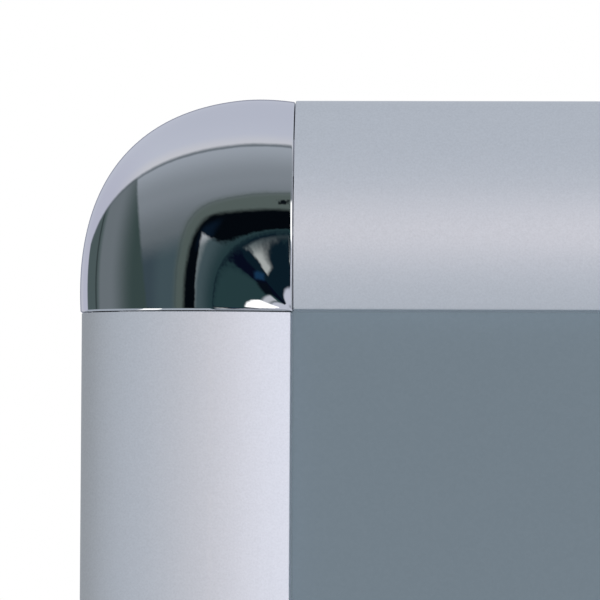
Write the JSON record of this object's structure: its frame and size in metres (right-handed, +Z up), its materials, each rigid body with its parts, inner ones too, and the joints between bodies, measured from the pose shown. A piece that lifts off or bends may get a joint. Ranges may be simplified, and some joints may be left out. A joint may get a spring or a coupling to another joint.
{
  "type": "pin board",
  "caption": "Wall-hung cork pin board: slate pin face on a cork core in hinged, crowned aluminium rails that snap open, joined by round chromed corner caps.",
  "frame": {"origin": "centre of the wall plane behind the board", "axes": "+X right along the long side, +Z up, +Y into the wall; the front faces -Y"},
  "size_m": [0.9008, 0.0149, 0.6008],
  "materials": {
    "satin_aluminium": "silver anodised with a fine satin grain along the rail",
    "mill_aluminium": "plain extruded, with faint die lines",
    "chrome_plate": "bright polished chrome plate",
    "slate_linoleum": "matt slate-grey cork linoleum, very fine granules",
    "natural_cork": "agglomerated cork granules, cut edge",
    "hardboard": "brown pressed fibre, woven pattern on the back",
    "spring_steel": "blue-grey tempered strip",
    "black_nylon": "moulded, glass filled",
    "zinc_plate": "bright zinc plate"
  },
  "bodies": {
    "board": {"pin_face": "slate_linoleum", "cork_core": "natural_cork", "backing_board": "hardboard", "base_rail_top": "mill_aluminium", "spring_clip_top_1": "spring_steel", "spring_clip_top_2": "spring_steel", "spring_clip_top_3": "spring_steel", "base_rail_bottom": "mill_aluminium", "spring_clip_bottom_1": "spring_steel", "spring_clip_bottom_2": "spring_steel", "spring_clip_bottom_3": "spring_steel", "base_rail_left": "mill_aluminium", "spring_clip_left_1": "spring_steel", "spring_clip_left_2": "spring_steel", "base_rail_right": "mill_aluminium", "spring_clip_right_1": "spring_steel", "spring_clip_right_2": "spring_steel", "corner_block_top_left": "black_nylon", "corner_cap_top_left": "chrome_plate", "cap_screw_top_left": "zinc_plate", "grub_screw_top_left_1": "zinc_plate", "grub_screw_top_left_2": "zinc_plate", "corner_block_top_right": "black_nylon", "corner_cap_top_right": "chrome_plate", "cap_screw_top_right": "zinc_plate", "grub_screw_top_right_1": "zinc_plate", "grub_screw_top_right_2": "zinc_plate", "corner_block_bottom_left": "black_nylon", "corner_cap_bottom_left": "chrome_plate", "cap_screw_bottom_left": "zinc_plate", "grub_screw_bottom_left_1": "zinc_plate", "grub_screw_bottom_left_2": "zinc_plate", "corner_block_bottom_right": "black_nylon", "corner_cap_bottom_right": "chrome_plate", "cap_screw_bottom_right": "zinc_plate", "grub_screw_bottom_right_1": "zinc_plate", "grub_screw_bottom_right_2": "zinc_plate"},
    "top_rail": {"front_rail_top": "satin_aluminium"},
    "bottom_rail": {"front_rail_bottom": "satin_aluminium"},
    "left_rail": {"front_rail_left": "satin_aluminium"},
    "right_rail": {"front_rail_right": "satin_aluminium"}
  },
  "joints": [
    {"name": "top_rail_hinge", "type": "hinge", "parent": "board", "child": "top_rail", "pos_m": [0, -0.0046, 0.2971], "axis": [-1, 0, 0], "range_deg": [0, 80]},
    {"name": "bottom_rail_hinge", "type": "hinge", "parent": "board", "child": "bottom_rail", "pos_m": [0, -0.0046, -0.2971], "axis": [1, 0, 0], "range_deg": [0, 80]},
    {"name": "left_rail_hinge", "type": "hinge", "parent": "board", "child": "left_rail", "pos_m": [-0.4471, -0.0046, 0], "axis": [0, 0, -1], "range_deg": [0, 80]},
    {"name": "right_rail_hinge", "type": "hinge", "parent": "board", "child": "right_rail", "pos_m": [0.4471, -0.0046, 0], "axis": [0, 0, 1], "range_deg": [0, 80]}
  ]
}
